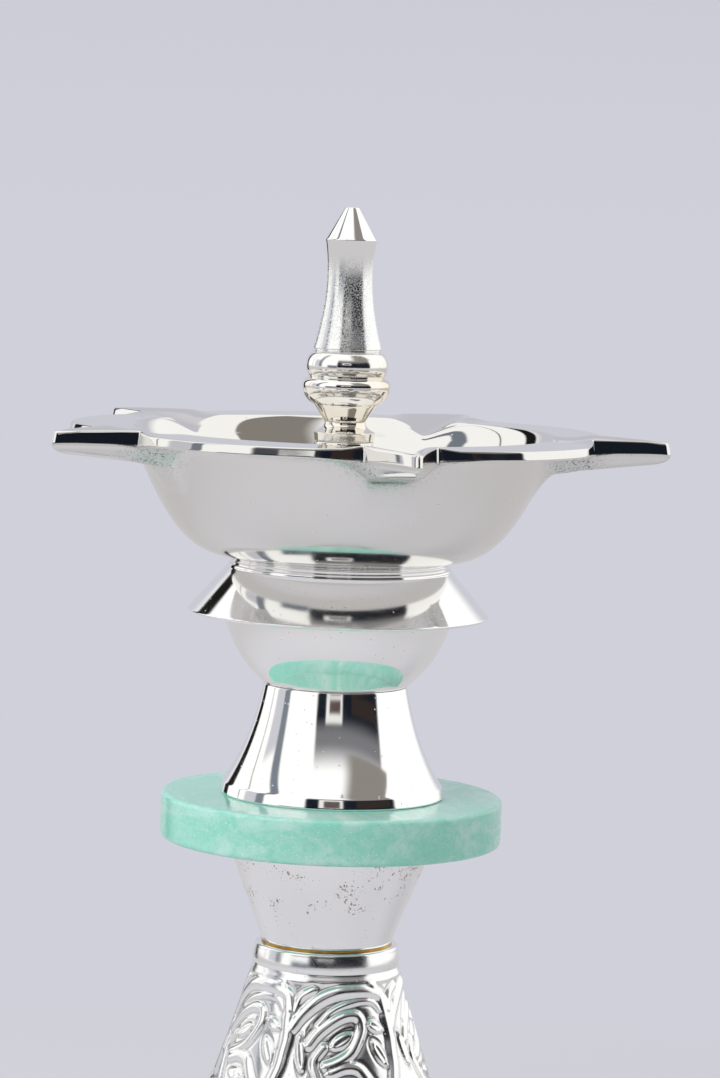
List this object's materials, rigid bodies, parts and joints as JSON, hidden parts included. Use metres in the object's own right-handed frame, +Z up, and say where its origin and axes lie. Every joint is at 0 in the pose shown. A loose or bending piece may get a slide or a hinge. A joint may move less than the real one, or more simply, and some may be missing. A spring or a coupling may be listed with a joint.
{
  "type": "standing oil lamp",
  "caption": "Standing oil lamp: a cast bowl with open wick spouts and a central finial, on a turned silver-plated stem that clamps a green stone disc above an embossed bell pedestal.",
  "frame": {"origin": "on the lamp's turning axis, in the plane of the foot ring's flat underside, where the lamp stands on the table", "axes": "+Z up along the lamp's axis; one of the spouts points along -Y, the pictured front, and the spouts are evenly spaced about the axis"},
  "size_m": [0.1388, 0.1339, 0.2581],
  "materials": {
    "silver_polished": "polished",
    "silver_cast": "polished",
    "silver_embossed": "polished",
    "bare_brass": "satin",
    "green_stone": "polished",
    "zinc_steel": "satin"
  },
  "bodies": {
    "stem": {"foot_ring": "silver_polished", "pedestal": "silver_embossed", "seat_washer": "bare_brass", "cone_cup": "silver_polished", "stone_disc": "green_stone", "bell_collar": "silver_polished", "knop_cup": "silver_polished", "tie_rod": "zinc_steel", "hex_nuts": "zinc_steel", "flat_washers": "zinc_steel", "spring_washer": "zinc_steel"},
    "bowl": {"bowl": "silver_cast", "skirt_collar": "silver_polished"},
    "finial": {"finial": "silver_polished", "finial_stud": "zinc_steel"}
  },
  "joints": [
    {"name": "bowl_lift", "type": "slide", "parent": "stem", "child": "bowl", "axis": [0, 0, 1], "range_m": [0, 0.022]},
    {"name": "finial_lift", "type": "slide", "parent": "bowl", "child": "finial", "axis": [0, 0, 1], "range_m": [0, 0.012]}
  ]
}
